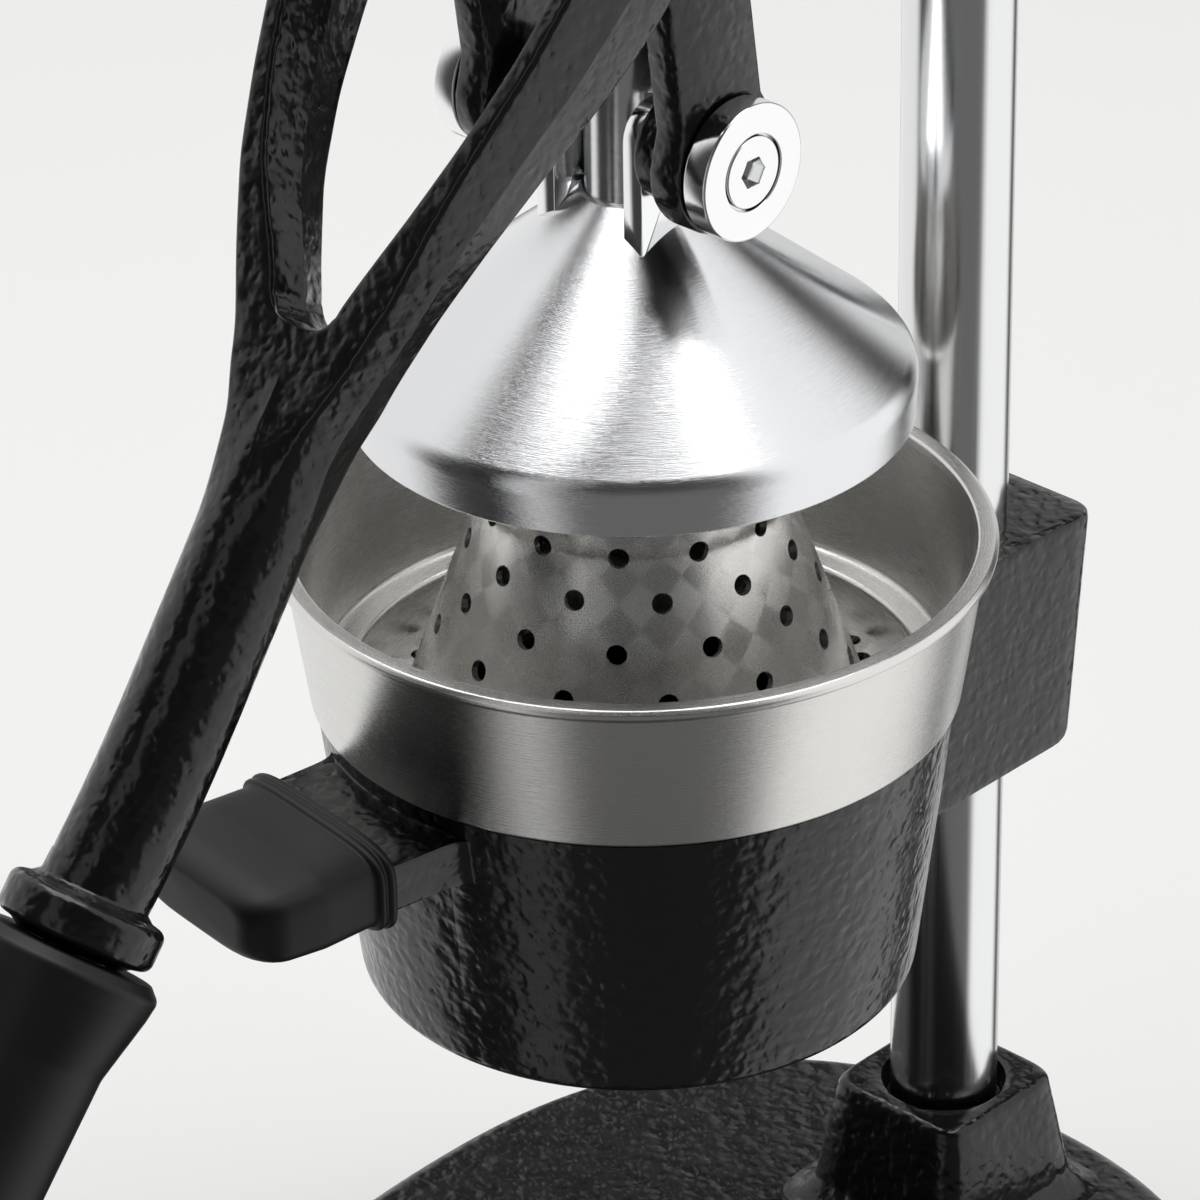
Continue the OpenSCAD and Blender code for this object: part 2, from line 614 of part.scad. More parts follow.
guide_top = pivot_z + guide_up;
bush_out = rod_r + 2;
head_down = 24;
head_h = head_down + guide_up;
guide_h = guide_down + guide_up;
boss_x_r = 12;
head_screw_up = [-12, 10];
module head() color("#18181a") difference() {
    union() {
        translate([0, pole_y, pivot_z - head_down]) cylinder(r = hub_r, h = head_h);
        translate([0, 0, pivot_z - guide_down]) cylinder(r = guide_r, h = guide_h);
        translate([-8, 5, pivot_z - 15]) cube([16, pole_y - 10, 26]);
        translate([-guide_r, 0, pivot_z - 10]) cube([2 * guide_r, 26, 20]);
        both_sides() rod_x(boss_x_r, guide_r - 7, link_out, pin_y, pivot_z);
    }
    translate([0, pole_y, pivot_z - head_down - 1]) cylinder(r = pole_r + seat_gap, h = head_h + 2);
    translate([0, 0, pivot_z - guide_down - 1]) cylinder(r = bush_out + run_gap, h = guide_h + 2);
    both_sides() rod_x(thread_r + run_gap, bush_out + 1.2, link_out + 1, pin_y, pivot_z);
    for (up = head_screw_up) rod_y(4 + seat_gap, pole_y, pole_y + hub_r + 2, 0, pivot_z + up);
}
module head_screws() color("#3a3a3c") for (up = head_screw_up)
    grub_y(4, pole_y + pole_r, pole_y + hub_r - 1, 0, pivot_z + up);
module guide_bush() color("#a8823c") translate([0, 0, pivot_z - guide_down]) difference() {
    cylinder(r = bush_out, h = guide_h);
    translate([0, 0, -1]) cylinder(r = rod_r + run_gap, h = guide_h + 2);
}
pivot_washer_x = arm_out + side_gap;
module pivot_screws() color("#b9bbbe") both_sides() difference() {
    union() {
        rod_x(thread_r, bush_out + 1.6, link_out, pin_y, pivot_z);
        rod_x(pivot_pin_r, link_out, pivot_washer_x - 0.05, pin_y, pivot_z);
        rod_x(thread_r, pivot_washer_x - 0.05, pivot_washer_x + washer_t - csk_h, pin_y, pivot_z);
        translate([pivot_washer_x + washer_t - csk_h, pin_y, pivot_z]) rotate([0, 90, 0])
            cylinder(r1 = thread_r, r2 = csk_r, h = csk_h - 0.6);
        rod_x(csk_r, pivot_washer_x + washer_t - 0.6, pivot_washer_x + washer_t, pin_y, pivot_z);
    }
    translate([pivot_washer_x + washer_t - 3, pin_y, pivot_z]) rotate([0, 90, 0])
        cylinder(r = hex_af / sqrt(3), h = 4, $fn = 6);
}
module pivot_washers() color("#d6d7d9") both_sides() csk_washer(pivot_washer_x, pin_y, pivot_z);

place() {
    base();
    feet();
    feet_screws();
    column();
    column_bolt();
    column_washer();
    socket_screw();
    column_cap();
    cup();
    cup_screws();
    thumb_grip();
    strainer();
    reamer();
    head();
    head_screws();
    guide_bush();
    pivot_screws();
    pivot_washers();
    lever();
    lever_grip();
    hub_bushes();
    link_pins();
    pin_clips();
    link_left();
    link_right();
    eye_bushes();
    press_cap();
    plunger_rod();
    rod_collar();
    collar_screw();
    cap_screws();
    cap_washers();
}
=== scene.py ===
from math import cos, pi, radians, sin, tan
import bmesh
import bpy
import numpy as np
from mathutils import Matrix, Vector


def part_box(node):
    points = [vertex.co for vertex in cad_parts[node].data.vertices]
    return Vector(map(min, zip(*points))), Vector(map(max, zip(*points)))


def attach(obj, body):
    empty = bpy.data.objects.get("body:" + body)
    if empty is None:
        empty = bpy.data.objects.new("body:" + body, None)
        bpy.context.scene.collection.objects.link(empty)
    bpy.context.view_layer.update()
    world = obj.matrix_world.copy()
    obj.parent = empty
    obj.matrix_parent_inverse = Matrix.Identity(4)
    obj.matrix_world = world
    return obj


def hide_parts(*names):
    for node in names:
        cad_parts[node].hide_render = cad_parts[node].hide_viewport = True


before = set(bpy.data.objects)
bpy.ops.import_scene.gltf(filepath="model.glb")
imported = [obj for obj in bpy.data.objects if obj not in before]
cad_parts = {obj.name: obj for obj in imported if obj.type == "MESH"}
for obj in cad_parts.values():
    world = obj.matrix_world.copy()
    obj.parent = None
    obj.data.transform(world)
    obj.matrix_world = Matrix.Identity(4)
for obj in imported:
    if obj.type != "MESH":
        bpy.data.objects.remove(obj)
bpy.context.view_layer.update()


# ---- Base plate --------------------------------------------------------------
# One iron casting: an oval plate, hollow underneath, with a square socket that
# holds the column. Dipped in thick black enamel that dries with a hammered skin.
mm = 0.001
base_low, base_high = (np.array(corner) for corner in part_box("base"))
column_low, column_high = (np.array(corner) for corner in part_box("column"))
column_r = (column_high[0] - column_low[0]) / 2
column_y = (column_low[1] + column_high[1]) / 2
socket_h, foot_r = 27, 11 * mm
plate_top = base_high[2] - socket_h * mm
plate_foot = base_low[2]
plate_mid_y = column_y - 57.7 * mm


def rounded(corners, closed=False, steps=6):
    """An outline through corners, each (across, up, fillet). A corner with a fillet becomes
    an arc that touches both of its sides, as short as the sides allow."""
    spots = np.array(corners, float)
    count, parts = len(spots), []
    for i in range(count):
        here, fillet = spots[i, :2], spots[i, 2]
        if fillet == 0 or (not closed and i in (0, count - 1)):
            parts.append(here[None])
            continue
        to_last, to_next = spots[i - 1, :2] - here, spots[(i + 1) % count, :2] - here
        room = min(np.linalg.norm(to_last), np.linalg.norm(to_next)) * 0.49
        to_last, to_next = to_last / np.linalg.norm(to_last), to_next / np.linalg.norm(to_next)
        half = np.arccos(np.clip(to_last @ to_next, -1, 1)) / 2
        reach = min(fillet / tan(half), room)
        middle = (to_last + to_next) / np.linalg.norm(to_last + to_next)
        centre = here + middle * reach / cos(half)
        start, end = here + to_last * reach - centre, here + to_next * reach - centre
        turn, t = pi - 2 * half, np.linspace(0, 1, steps + 1)[:, None]
        arc = (np.sin((1 - t) * turn) * start + np.sin(t * turn) * end) / sin(turn)
        parts.append(centre + arc)
    return np.concatenate(parts)


def skin(points, ring=True, loop=False):
    """Quads over an array of points (rows, columns, 3). ring joins the last column to the first
    and loop the last row to the first. The UV is the share of the way round and the length
    along the rows in metres."""
    rows, columns = points.shape[:2]
    place = np.arange(rows * columns).reshape(rows, columns)
    row = np.arange(rows if loop else rows - 1)[:, None]
    column = np.arange(columns if ring else columns - 1)[None, :]
    row_b, column_b = (row + 1) % rows, (column + 1) % columns
    quads = np.stack([place[row, column], place[row, column_b],
                      place[row_b, column_b], place[row_b, column]], -1).reshape(-1, 4)
    wrapped = np.concatenate([points, points[:1]])
    length = np.r_[0, np.cumsum(np.linalg.norm(np.diff(wrapped, axis=0), axis=2).mean(1))]
    u, v = (column + 0 * row) / columns, length[row] + 0 * column
    u_b, v_b = (column + 1 + 0 * row) / columns, length[row + 1] + 0 * column
    uv = np.stack([u, v, u_b, v, u_b, v_b, u, v_b], -1).reshape(-1, 4, 2)
    return points.reshape(-1, 3), quads, uv


def turned(outline, foot, along=(0, 0, 1), columns=128, loop=False, hexed=None):
    """A solid of revolution: an outline of (radius, height) carried round the line from foot
    along a direction. Rows with hexed 1 are hexagons whose corners are at that radius."""
    along = np.array(along, float) / np.linalg.norm(along)
    side = np.cross(along, (0, 0, 1) if abs(along[2]) < 0.9 else (1, 0, 0))
    side = side / np.linalg.norm(side)
    turn = np.arange(columns) * 2 * pi / columns
    ring = np.cos(turn)[:, None] * side + np.sin(turn)[:, None] * np.cross(along, side)
    radius = outline[:, 0][:, None] * np.ones(columns)
    if hexed is not None:
        flat = cos(pi / 6) / np.cos(turn % (pi / 3) - pi / 6)
        radius = radius * (1 + np.array(hexed, float)[:, None] * (flat - 1))
    points = np.array(foot, float) + radius[..., None] * ring + outline[:, 1][:, None, None] * along
    return skin(points, loop=loop)


def build(name, skins, material, body, stands_for=(), crease=32):
    """Joins skins into one piece: welds seams and poles, turns the faces outward, shades it
    smooth but for edges sharper than crease degrees, and hands it to its body."""
    start, points, quads, uvs = 0, [], [], []
    for skin_points, skin_quads, skin_uv in skins:
        points.append(skin_points)
        quads.append(skin_quads + start)
        uvs.append(skin_uv)
        start += len(skin_points)
    mesh = bpy.data.meshes.new(name)
    mesh.from_pydata(np.concatenate(points).tolist(), [], np.concatenate(quads).tolist())
    layer = mesh.uv_layers.new(name="round")
    layer.data.foreach_set("uv", np.concatenate(uvs).astype(np.float32).ravel())
    work = bmesh.new()
    work.from_mesh(mesh)
    bmesh.ops.remove_doubles(work, verts=work.verts, dist=0.002 * mm)
    loose = [edge for edge in work.edges if not edge.link_faces]
    bmesh.ops.delete(work, geom=loose, context="EDGES")
    bmesh.ops.recalc_face_normals(work, faces=work.faces)
    work.to_mesh(mesh)
    work.free()
    mesh.polygons.foreach_set("use_smooth", np.ones(len(mesh.polygons), bool))
    mesh.set_sharp_from_angle(angle=radians(crease))
    mesh.materials.append(material)
    piece = bpy.data.objects.new(name, mesh)
    bpy.context.scene.collection.objects.link(piece)
    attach(piece, body)
    if stands_for:
        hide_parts(*stands_for)
    return piece


def finish(name, colour, metallic=0.0, roughness=0.4, **sockets):
    """A material with one Principled shader. sockets are its other inputs, set directly."""
    material = bpy.data.materials.new(name)
    material.use_nodes = True
    shader = material.node_tree.nodes["Principled BSDF"]
    shader.inputs["Base Color"].default_value = (*colour, 1)
    shader.inputs["Metallic"].default_value = metallic
    shader.inputs["Roughness"].default_value = roughness
    for socket, value in sockets.items():
        shader.inputs[socket.replace("_", " ")].default_value = value
    return material, shader


def add(material, kind, **inputs):
    """A node of that kind. Names in capitals are its sockets, the others its settings."""
    new = material.node_tree.nodes.new("ShaderNode" + kind)
    for name, value in inputs.items():
        if name[0].isupper():
            new.inputs[name.replace("_", " ")].default_value = value
        else:
            setattr(new, name, value)
    return new


def join(material, source, target):
    material.node_tree.links.new(source, target)


def hammered_enamel(name, size=1.0, depth=0.22 * mm):
    """Black enamel. A coarse swell and finer dimples of about 2 mm break up its highlights,
    and the gloss varies a little from dimple to dimple."""
    material, shader = finish(name, (0.0045, 0.0045, 0.005), roughness=0.2, Specular_IOR_Level=0.45)
    where = add(material, "TexCoord")
    swell = add(material, "TexNoise", Scale=210 / size, Detail=2.0, Roughness=0.55)
    dimple = add(material, "TexVoronoi", feature="SMOOTH_F1", Scale=430 / size, Smoothness=0.9)
    warp = add(material, "VectorMath", operation="MULTIPLY_ADD")
    warp.inputs[1].default_value = (0.0032, 0.0032, 0.0032)
    join(material, where.outputs["Object"], swell.inputs["Vector"])
    join(material, swell.outputs["Color"], warp.inputs[0])
    join(material, where.outputs["Object"], warp.inputs[2])
    join(material, warp.outputs["Vector"], dimple.inputs["Vector"])
    height = add(material, "Math", operation="MULTIPLY_ADD")
    join(material, swell.outputs["Fac"], height.inputs[0])
    height.inputs[1].default_value = 1.3
    join(material, dimple.outputs["Distance"], height.inputs[2])
    bump = add(material, "Bump", Strength=1.0, Distance=depth * size)
    join(material, height.outputs["Value"], bump.inputs["Height"])
    join(material, bump.outputs["Normal"], shader.inputs["Normal"])
    gloss = add(material, "MapRange", To_Min=0.1, To_Max=0.3)
    join(material, swell.outputs["Fac"], gloss.inputs["Value"])
    join(material, gloss.outputs["Result"], shader.inputs["Roughness"])
    return material


enamel = hammered_enamel("hammered_enamel")

# The plate's outline is a blunt ellipse: a power of 2 would be a plain one
blunt, columns = 2.3, 240
around = np.arange(columns) * 2 * pi / columns
plate = rounded([(62, plate_top / mm, 0), (0, plate_top / mm, 5), (0, plate_foot / mm, 1.5),
                 (7, plate_foot / mm, 1), (7, plate_foot / mm + 9, 3),
                 (62, plate_foot / mm + 9, 0)], steps=8) * mm
across = np.abs(np.cos(around)) ** (2 / blunt) * np.sign(np.cos(around))
back_front = np.abs(np.sin(around)) ** (2 / blunt) * np.sign(np.sin(around))
plate_back = base_high[1] - plate_mid_y
plate_front = plate_mid_y - base_low[1]
reach = np.where(back_front > 0, plate_back, plate_front)
inset, up = plate[:, 0][:, None], plate[:, 1][:, None]
plate_points = np.stack([(base_high[0] - inset) * across,
                         plate_mid_y + (reach - inset) * back_front, up + 0 * across], -1)
top_middle, under_middle = (np.tile([0, plate_mid_y, z], (1, columns, 1))
                            for z in plate[[0, -1], 1])
plate_points = np.concatenate([top_middle, plate_points, under_middle])

socket = rounded([(27, -0.6, 0), (22.4, 0.7, 5), (19.8, 4.2, 3), (16.1, socket_h, 1.8),
                  (12.3, socket_h, 0.9), (12.1, 21, 0.4), (10.8, 21, 0), (10.8, 0.1, 0)]) * mm
half, up = socket[:, 0][:, None], socket[:, 1][:, None]
power = np.interp(half, [12.4 * mm, 15 * mm], [2.0, 7.0])
radius = half / (np.abs(np.cos(around)) ** power + np.abs(np.sin(around)) ** power) ** (1 / power)
socket_points = np.stack([radius * np.cos(around), column_y + radius * np.sin(around),
                          plate_top + up + 0 * around], -1)
low_middle = np.tile([0, column_y, plate_top - 0.6 * mm], (1, columns, 1))
socket_middle = np.tile([0, column_y, plate_top + 0.1 * mm], (1, columns, 1))
socket_points = np.concatenate([low_middle, socket_points, socket_middle])

feet_low, feet_high = (np.array(corner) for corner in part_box("feet"))
foot_places = [(x, y) for x in (feet_low[0] + foot_r, feet_high[0] - foot_r)
               for y in (feet_low[1] + foot_r, feet_high[1] - foot_r)]
pad = rounded([(0, 0, 0), (12, 0, 0.8), (12, 9.4, 0), (0, 9.4, 0)]) * mm
pads = [turned(pad, (x, y, plate_foot), columns=48) for x, y in foot_places]
column_pad = rounded([(0, 9.4, 0), (19, 9.4, 0), (19, 0, 1), (12.2, 0, 0.6), (12.2, 9, 0),
                      (0, 9, 0)]) * mm
pads.append(turned(column_pad, (0, column_y, plate_foot), columns=64))
build("base_casting", [skin(plate_points), skin(socket_points)] + pads, enamel, "stand",
      ["base"])


# ---- Rubber feet --------------------------------------------------------------
# Four moulded rubber pads, each held by a pan-head screw sunk in its underside.
def rubber(name, tone=0.006, rough=0.46):
    """Moulded black rubber: dull, faintly mottled, with a fine grain."""
    material, shader = finish(name, (tone, tone, tone * 1.04), roughness=rough,
                              Specular_IOR_Level=0.3)
    where = add(material, "TexCoord")
    cloud = add(material, "TexNoise", Scale=60, Detail=3.0)
    grain = add(material, "TexNoise", Scale=5200, Detail=2.0)
    join(material, where.outputs["Object"], cloud.inputs["Vector"])
    join(material, where.outputs["Object"], grain.inputs["Vector"])
    dull = add(material, "MapRange", To_Min=rough - 0.1, To_Max=rough + 0.1)
    join(material, cloud.outputs["Fac"], dull.inputs["Value"])
    join(material, dull.outputs["Result"], shader.inputs["Roughness"])
    shade = add(material, "ValToRGB")
    shade.color_ramp.elements[0].color = (tone * 0.75, tone * 0.75, tone * 0.78, 1)
    shade.color_ramp.elements[1].color = (tone * 1.5, tone * 1.5, tone * 1.55, 1)
    join(material, cloud.outputs["Fac"], shade.inputs["Fac"])
    join(material, shade.outputs["Color"], shader.inputs["Base Color"])
    bump = add(material, "Bump", Strength=0.5, Distance=0.02 * mm)
    join(material, grain.outputs["Fac"], bump.inputs["Height"])
    join(material, bump.outputs["Normal"], shader.inputs["Normal"])
    return material


soft_rubber = rubber("moulded_rubber")
foot = rounded([(0, 2.5, 0), (4.6, 2.5, 0.2), (4.6, 0, 0.3), (9.6, 0, 1), (foot_r / mm, 1.8, 1.2),
                (foot_r / mm, 6, 0.3), (0, 6, 0)]) * mm
build("rubber_feet", [turned(foot, (x, y, 0), columns=64) for x, y in foot_places],
      soft_rubber, "stand", ["feet"])


# ---- Column ---------------------------------------------------------------------
# A bright-drawn steel bar, ground, chrome plated and polished along its length.
def chrome(name):
    """Polished chrome with hair-fine lines along the bar and a little haze."""
    material, shader = finish(name, (0.78, 0.785, 0.79), metallic=1.0, roughness=0.16)
    where = add(material, "TexCoord")
    stretch = add(material, "Mapping", Scale=(2600, 2600, 26))
    lines = add(material, "TexNoise", Scale=1.0, Detail=3.0)
    join(material, where.outputs["Object"], stretch.inputs["Vector"])
    join(material, stretch.outputs["Vector"], lines.inputs["Vector"])
    haze = add(material, "MapRange", To_Min=0.12, To_Max=0.26)
    join(material, lines.outputs["Fac"], haze.inputs["Value"])
    join(material, haze.outputs["Result"], shader.inputs["Roughness"])
    bump = add(material, "Bump", Strength=0.35, Distance=0.01 * mm)
    join(material, lines.outputs["Fac"], bump.inputs["Height"])
    join(material, bump.outputs["Normal"], shader.inputs["Normal"])
    return material


bar = rounded([(0, column_low[2] / mm, 0), (column_r / mm, column_low[2] / mm, 0.6),
               (column_r / mm, column_high[2] / mm, 1), (0, column_high[2] / mm, 0)]) * mm
build("column_bar", [turned(bar, (0, column_y, 0), columns=160)], chrome("polished_chrome"),
      "stand", ["column"])


# ---- Cup ------------------------------------------------------------------------
# The second enamelled casting: a cup with an open foot, a clamp block behind that grips
# the column, and a short arm in front that carries the thumb sleeve.
axis_y = column_y - 87.7 * mm
fine = np.arange(-25, 25, 0.3)
lie = radians(8)
cup_foot, cup_top, cup_foot_r, cup_top_r = 121, 177, 51, 58
clamp_low, clamp_high, arm_low, arm_high = 126.5, 174.5, 164.3, 173.3
bearing = np.r_[np.arange(0, 360, 1.0), 90 + fine, 262 + fine] % 360
bearing = np.radians(np.unique(np.round(bearing, 3)))


def block_reach(off, half, far, corner):
    """Distance from the press axis to the sides of a block with rounded corners, along each
    bearing off the block's own direction."""
    aside, ahead = np.abs(np.sin(off)), np.maximum(np.cos(off), 1e-6)
    straight = np.minimum(half / np.maximum(aside, 1e-6), far / ahead)
    along = aside * (half - corner) + ahead * (far - corner)
    short = along ** 2 - (half - corner) ** 2 - (far - corner) ** 2 + corner ** 2
    bent = along + np.sqrt(np.maximum(short, 0))
    cut = (short > 0) & (bent * aside > half - corner) & (bent * ahead > far - corner)
    return np.where(cut, bent, straight) * (np.cos(off) > 0)


def swell_out(wall, block, blend=5.0):
    """How far the larger of wall and block stands out of the wall, with a soft inner corner."""
    mix = np.clip(0.5 + 0.5 * (block - wall) / blend, 0, 1)
    return mix * (block - wall) + blend * mix * (1 - mix)


# (height, share of the block's reach) over a shelf's edge: rounded above, a fillet below
shelf = np.array([[-1.9, 1], [-0.9, 0.994], [-0.25, 0.975], [0, 0.93], [0, 0.5], [0, 0.06],
                  [0.2, 0.015], [0.5, 0]])


def shelves(low, high):
    """Rows of (height, share) that bring a block in at one height and out at another."""
    return np.concatenate([np.c_[low - shelf[::-1, 0], shelf[::-1, 1]],
                           np.c_[high + shelf[:, 0], shelf[:, 1]]])


clamp_rows, arm_rows = shelves(clamp_low, clamp_high), shelves(arm_low, arm_high)
up = np.r_[clamp_rows[:, 0], arm_rows[:, 0]]
clamp_share = np.r_[clamp_rows[:, 1], np.interp(arm_rows[:, 0], *clamp_rows.T)]
arm_share = np.r_[np.interp(clamp_rows[:, 0], *arm_rows.T), arm_rows[:, 1]]
order = np.argsort(up, kind="stable")
up, clamp_share, arm_share = (rows[order][:, None] for rows in (up, clamp_share, arm_share))
wall = (cup_foot_r + (cup_top_r - cup_foot_r) * (up - cup_foot) / (cup_top - cup_foot)
        + 0 * bearing)
clamp_back = 106 + 5 * (up - clamp_low) / (clamp_high - clamp_low)
outer = (wall + clamp_share * swell_out(wall, block_reach(bearing - pi / 2, 17.5, clamp_back, 6))
         + arm_share * swell_out(wall, block_reach(bearing + pi / 2 + lie, 18.6, 71.5, 1.5)))
under = rounded([(11, cup_foot + 0.6, 0), (11.5, cup_foot, 0), (cup_foot_r, cup_foot, 5),
                 (51.6, 125.8, 0)])
inside = rounded([(cup_top_r - 0.03, cup_top - 0.05, 0), (57.7, cup_top, 0), (53.6, cup_top, 0.4),
                  (53.6, 163, 2), (46.6, 140, 2), (42.6, 135, 3), (11, 127, 1),
                  (11, cup_foot + 0.6, 0)])[:-1]
radius = np.concatenate([under[:, :1] + 0 * bearing, outer, inside[:, :1] + 0 * bearing]) * mm
up = np.concatenate([under[:, 1:], up, inside[:, 1:]]) * mm + 0 * bearing
cup_points = np.stack([radius * np.cos(bearing), axis_y + radius * np.sin(bearing), up], -1)
build("cup_casting", [skin(cup_points, loop=True)], enamel, "stand", ["cup"])


# ---- Thumb sleeve ----------------------------------------------------------------
# A moulded rubber sleeve pushed over the cup's front arm, turned a little to one side. Its
# open end has a raised collar and its far end is rounded.
def spot(x, y, z):
    """A place given in millimetres from the press axis and the table."""
    return np.array([x, y, z], float) * mm + (0, axis_y, 0)


toward, aside = np.array([-sin(lie), -cos(lie), 0]), np.array([cos(lie), -sin(lie), 0])
sleeve = rounded([(0, 70, 0), (21, 70, 0.9), (21, 71.3, 0.7), (20.3, 71.6, 0.4), (20.3, 72.1, 0.3),
                  (20.7, 72.5, 0.4), (20.7, 73.2, 0.6), (19.4, 73.6, 0.4), (19.9, 84, 14),
                  (18.8, 98.4, 8.5), (0, 98.4, 0)], steps=8)
half, out = sleeve[:, :1], sleeve[:, 1:]
thick = half * np.interp(out, [72, 74, 90, 98], [0.41, 0.397, 0.393, 0.36])
turn = np.arange(160) * 2 * pi / 160
boxy = 4.6
wide = np.abs(np.cos(turn)) ** (2 / boxy) * np.sign(np.cos(turn))
high = np.abs(np.sin(turn)) ** (2 / boxy) * np.sign(np.sin(turn))
sleeve_points = (spot(0, 0, (arm_low + arm_high) / 2) + (out * mm + 0 * turn)[..., None] * toward
                 + (half * wide * mm)[..., None] * aside
                 + (thick * high * mm)[..., None] * (0, 0, 1))
build("thumb_sleeve", [skin(sleeve_points)], soft_rubber, "stand", ["thumb_grip"])


# ---- Strainer --------------------------------------------------------------------
# Spun stainless sheet: a flared wall with a rolled lip, a shoulder that rests on the cup, and
# a floor ring with two staggered rings of punched holes. Brushed round its axis.
def brushed(name, colour, rough=0.2, spread=0.8, lines=5200, mark=0.05 * mm, patch=0.06):
    """Steel brushed round an axis: the highlight is drawn out across the brushing, short
    hair lines run round, and soft patches are a little duller."""
    material, shader = finish(name, colour, metallic=1.0, roughness=rough, Anisotropic=spread,
                              Anisotropic_Rotation=0.25)
    round_way = add(material, "Tangent", direction_type="UV_MAP", uv_map="round")
    join(material, round_way.outputs["Tangent"], shader.inputs["Tangent"])
    layout = add(material, "UVMap", uv_map="round")
    stretch = add(material, "Mapping", Scale=(46, lines, 1))
    hairs = add(material, "TexNoise", Scale=1.0, Detail=3.0, Roughness=0.7)
    join(material, layout.outputs["UV"], stretch.inputs["Vector"])
    join(material, stretch.outputs["Vector"], hairs.inputs["Vector"])
    where = add(material, "TexCoord")
    cloud = add(material, "TexNoise", Scale=70, Detail=4.0)
    join(material, where.outputs["Object"], cloud.inputs["Vector"])
    dull = add(material, "MapRange", To_Min=rough - patch, To_Max=rough + patch)
    join(material, cloud.outputs["Fac"], dull.inputs["Value"])
    worn = add(material, "MapRange", To_Min=-0.09, To_Max=0.09)
    join(material, hairs.outputs["Fac"], worn.inputs["Value"])
    total = add(material, "Math", operation="ADD")
    join(material, dull.outputs["Result"], total.inputs[0])
    join(material, worn.outputs["Result"], total.inputs[1])
    join(material, total.outputs["Value"], shader.inputs["Roughness"])
    bump = add(material, "Bump", Strength=0.6, Distance=mark)
    join(material, hairs.outputs["Fac"], bump.inputs["Height"])
    join(material, bump.outputs["Normal"], shader.inputs["Normal"])
    return material


def pierced(outline, thick, cells, low, high, holes, hole_r, offset=0.0):
    """A band of a turned sheet, cut into square cells round the axis. outline is (radius,
    height) from foot to top in millimetres, low and high are lengths along it, and thick is
    the sheet. holes says for each cell whether it has a round hole, offset its place along."""
    run = np.r_[0, np.cumsum(np.linalg.norm(np.diff(outline, axis=0), axis=1))]
    slope = np.gradient(outline, run, axis=0)
    steps = np.linspace(-1, 1, 7)[:-1]
    square = np.concatenate([np.c_[steps, -1 + 0 * steps], np.c_[1 + 0 * steps, steps],
                             np.c_[-steps, 1 + 0 * steps], np.c_[-1 + 0 * steps, -steps]])
    half_turn, middle, half_run = pi / cells, (low + high) / 2, (high - low) / 2
    bands = []
    for cell in range(cells):
        centre = middle + (offset if np.isscalar(offset) else offset[cell])
        near = np.interp(centre, run, outline[:, 0])
        flat = np.c_[square[:, 0] * half_turn * near, square[:, 1] * half_run + middle - centre]
        size = hole_r if holes[cell] else 0.0
        circle = size * flat / np.linalg.norm(flat, axis=1)[:, None]
        rings = [circle + share * (flat - circle) for share in (1, 0.55, 0.2, 0)]
        stack = np.array(rings + rings[::-1])
        depth = np.array([0] * 4 + [1] * 4)[:, None] * thick
        along = centre + stack[..., 1]
        turn = (2 * cell + 1) * half_turn + stack[..., 0] / near
        radius = np.interp(along, run, outline[:, 0]) - depth * np.interp(along, run, slope[:, 1])
        height = np.interp(along, run, outline[:, 1]) + depth * np.interp(along, run, slope[:, 0])
        points = np.stack([radius * np.cos(turn), radius * np.sin(turn), height], -1) * mm
        points = points + (0, axis_y, 0)
        bands += [skin(points)] if holes[cell] else [skin(points[:4]), skin(points[4:])]
    return bands


stainless = brushed("brushed_stainless", (0.70, 0.69, 0.67), rough=0.26, spread=0.7)
rim_z, floor_z, sheet, drain_r = 208, 168.7, 1.4, 1.9
on_axis = (0, axis_y, 0)
basin = rounded([(51.6, floor_z, 0), (51.6, 178.7, 1), (57.1, 178.7, 1.5), (60.9, rim_z - 2, 0),
                 (61.3, rim_z, 0.6), (64.3, rim_z, 0.7), (65, 207.2, 0.5), (65, 206.4, 0.5),
                 (62.9, 205, 0.8), (58.8, 177.3, 1), (53, 177.3, 0.8), (53, floor_z - sheet, 0.5),
                 (51.6, floor_z - sheet, 0)]) * mm
floor_ring = np.array([[51.6, floor_z], [38, floor_z]])
drains = pierced(floor_ring, sheet, 48, 0, 13.6, [True] * 48, drain_r, offset=[-4, -2] * 24)
rim_edge = np.array([[38, floor_z], [38, floor_z - sheet]]) * mm
build("strainer_basin", [turned(edge, on_axis, columns=288) for edge in (basin, rim_edge)] + drains,
      stainless, "strainer", ["strainer"])


# ---- Reamer ----------------------------------------------------------------------
# A pressed stainless dome that stands in the strainer. Its wall is pierced by rows of
# round juice holes, every other one left out above the lowest row.
reamer_r, reamer_h, crown_r, straight = 44, 72.3, 27.5, 0.66
height_share = np.r_[np.linspace(0, straight, 24),
                     straight + (1 - straight) * np.sin(np.linspace(0.06, pi / 2, 26))]
flank = reamer_r - (reamer_r - crown_r) * height_share / straight
crown = crown_r * np.sqrt(np.clip(1 - ((height_share - straight) / (1 - straight)) ** 2, 0, 1))
dome = np.c_[np.where(height_share < straight, flank, crown), floor_z + reamer_h * height_share]
run = np.r_[0, np.cumsum(np.linalg.norm(np.diff(dome, axis=0), axis=1))]
stops = [0, 2.5, 11.5, 20.5, 29.5, 38.5, 47.5, 55.0]
alternate = np.arange(24) % 2 == 0
rows = [np.zeros(24, bool), np.ones(24, bool), alternate, ~alternate, alternate, ~alternate,
        alternate]
wall = [band for row, low, high in zip(rows, stops, stops[1:])
        for band in pierced(dome, sheet, 24, low, high, row, drain_r)]
slope = np.gradient(dome, run, axis=0)
lining = dome + sheet * np.c_[-slope[:, 1], slope[:, 0]]
top = run > stops[-1]
skins = []
